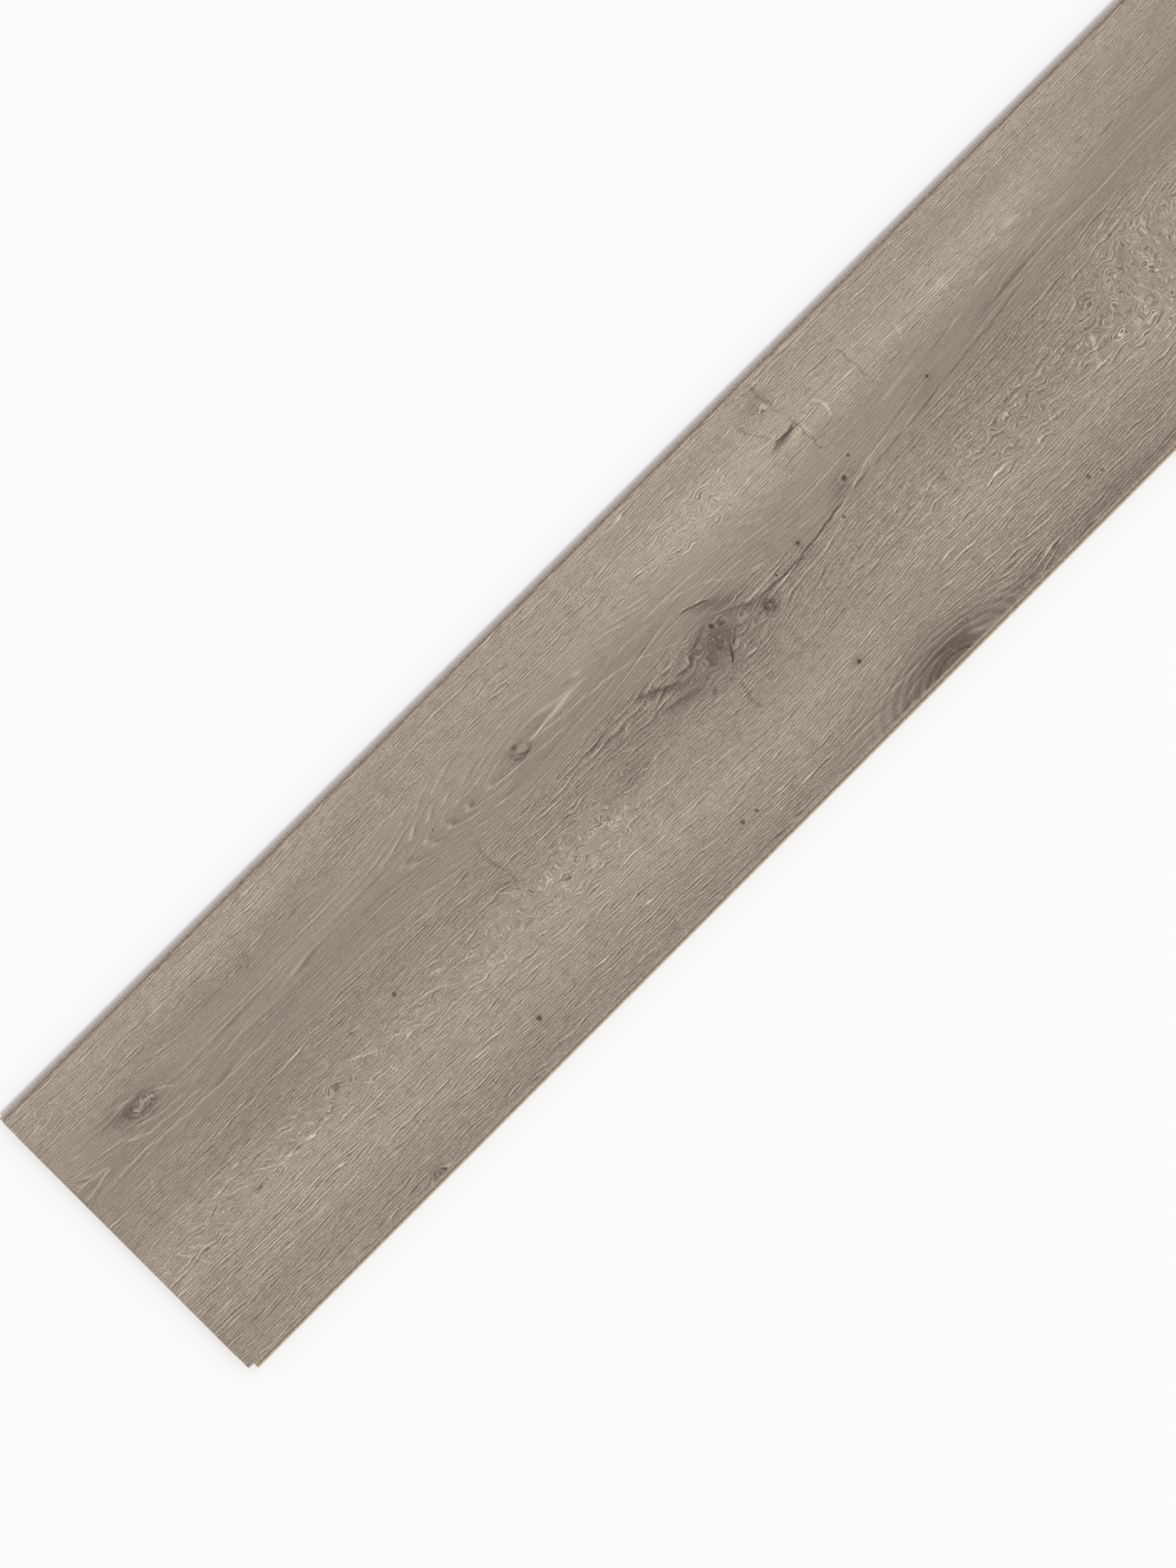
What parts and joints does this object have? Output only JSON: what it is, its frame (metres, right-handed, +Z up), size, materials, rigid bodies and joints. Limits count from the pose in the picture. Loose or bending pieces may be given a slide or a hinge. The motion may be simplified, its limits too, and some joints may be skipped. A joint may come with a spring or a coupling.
{
  "type": "laminate floor plank",
  "caption": "Long flat rectangular floor plank with a grey-brown wood-grain face and click-joint edges that lock it to its neighbours.",
  "frame": {"origin": "on the underside, below the centre of the decor face", "axes": "+X along the length towards the end with the lip, +Y across the width towards the tongue edge, +Z up out of the decor face"},
  "size_m": [1.384, 0.1996, 0.008],
  "materials": {
    "laminate": "matte"
  },
  "bodies": {
    "root": {"plank": "laminate"}
  },
  "joints": []
}
